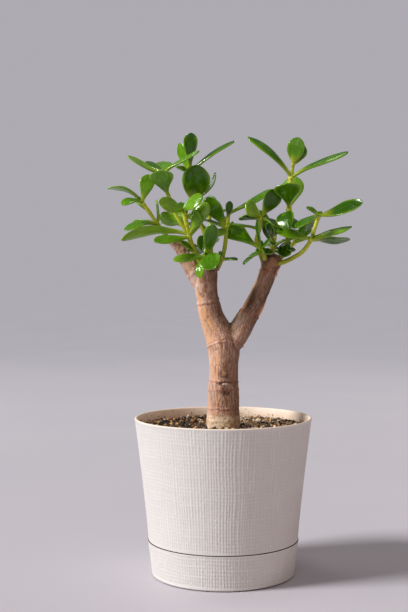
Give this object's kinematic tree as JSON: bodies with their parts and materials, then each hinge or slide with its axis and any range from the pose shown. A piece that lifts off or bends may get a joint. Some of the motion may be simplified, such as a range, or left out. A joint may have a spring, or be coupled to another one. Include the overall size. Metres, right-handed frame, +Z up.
{
  "type": "jade plant in pot",
  "caption": "Jade plant with a short forked woody trunk and two crowns of thick oval leaves, in a tapered pot that stands in a deep matching saucer.",
  "frame": {"origin": "middle of the saucer's flat underside, on the surface that the pot stands on", "axes": "+Z up along the pot's axis, -Y towards the front, +X towards the taller right-hand crown of leaves"},
  "size_m": [0.2257, 0.1598, 0.398],
  "materials": {
    "planter": "matte, with a fine woven relief",
    "soil": "loose dark grit",
    "bark": "matt bark with ring scars",
    "foliage": "glossy leaves on fleshy green stems"
  },
  "bodies": {
    "root": {"saucer": "planter", "pot": "planter", "soil": "soil", "trunk": "bark", "shoot_left_tip": "foliage", "shoot_left_front": "foliage", "shoot_left_centre": "foliage", "shoot_left_right": "foliage", "rosette_left": "foliage", "shoot_left_back": "foliage", "shoot_left_far": "foliage", "shoot_right_tall": "foliage", "shoot_right_outer": "foliage", "shoot_right_inner": "foliage", "rosette_right": "foliage", "shoot_right_centre": "foliage", "shoot_right_back": "foliage", "shoot_right_far": "foliage"}
  },
  "joints": []
}
